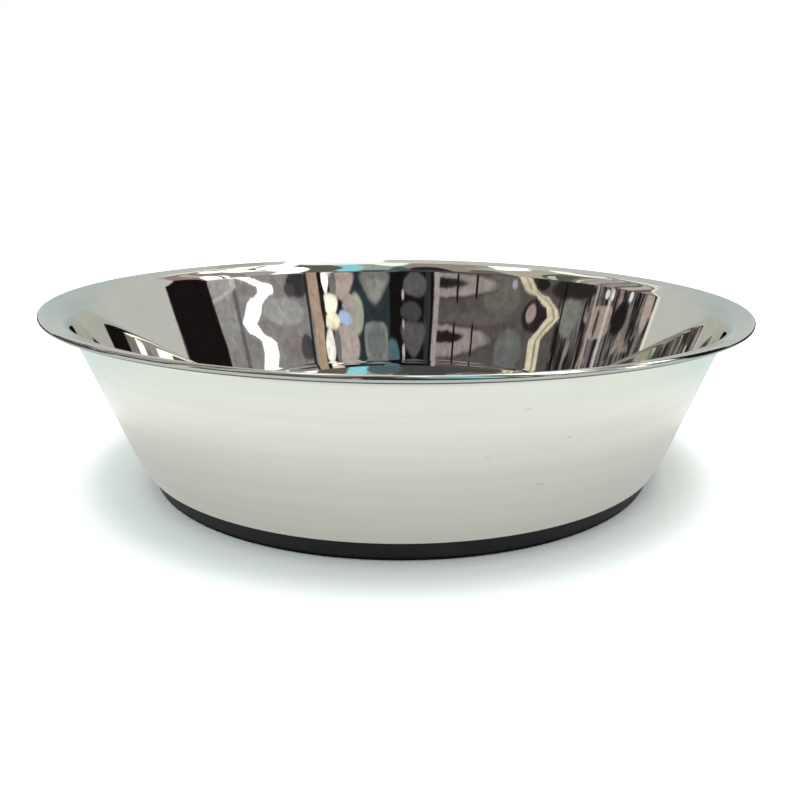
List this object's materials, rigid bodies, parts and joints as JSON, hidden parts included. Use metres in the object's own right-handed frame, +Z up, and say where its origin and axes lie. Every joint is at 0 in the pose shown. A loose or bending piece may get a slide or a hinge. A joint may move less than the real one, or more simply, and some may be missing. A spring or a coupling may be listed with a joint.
{
  "type": "dog bowl",
  "caption": "Round stainless steel pet bowl: leaning wall, mirror inside, flared lip with a rolled edge, and a black rubber ring bonded under its foot so that it doesn't slide.",
  "frame": {"origin": "middle of the floor plane that the foot ring stands on", "axes": "+Z up along the bowl's axis; X and Y are alike, because the bowl is round"},
  "size_m": [0.28, 0.28, 0.071],
  "materials": {
    "stainless_steel": "mirror polish inside and on the lip, fine satin grain round the outside",
    "black_rubber": "matt moulded rubber",
    "adhesive": "cured adhesive"
  },
  "bodies": {
    "root": {"steel_bowl": "stainless_steel", "foot_ring": "black_rubber", "bond_film": "adhesive"}
  },
  "joints": []
}
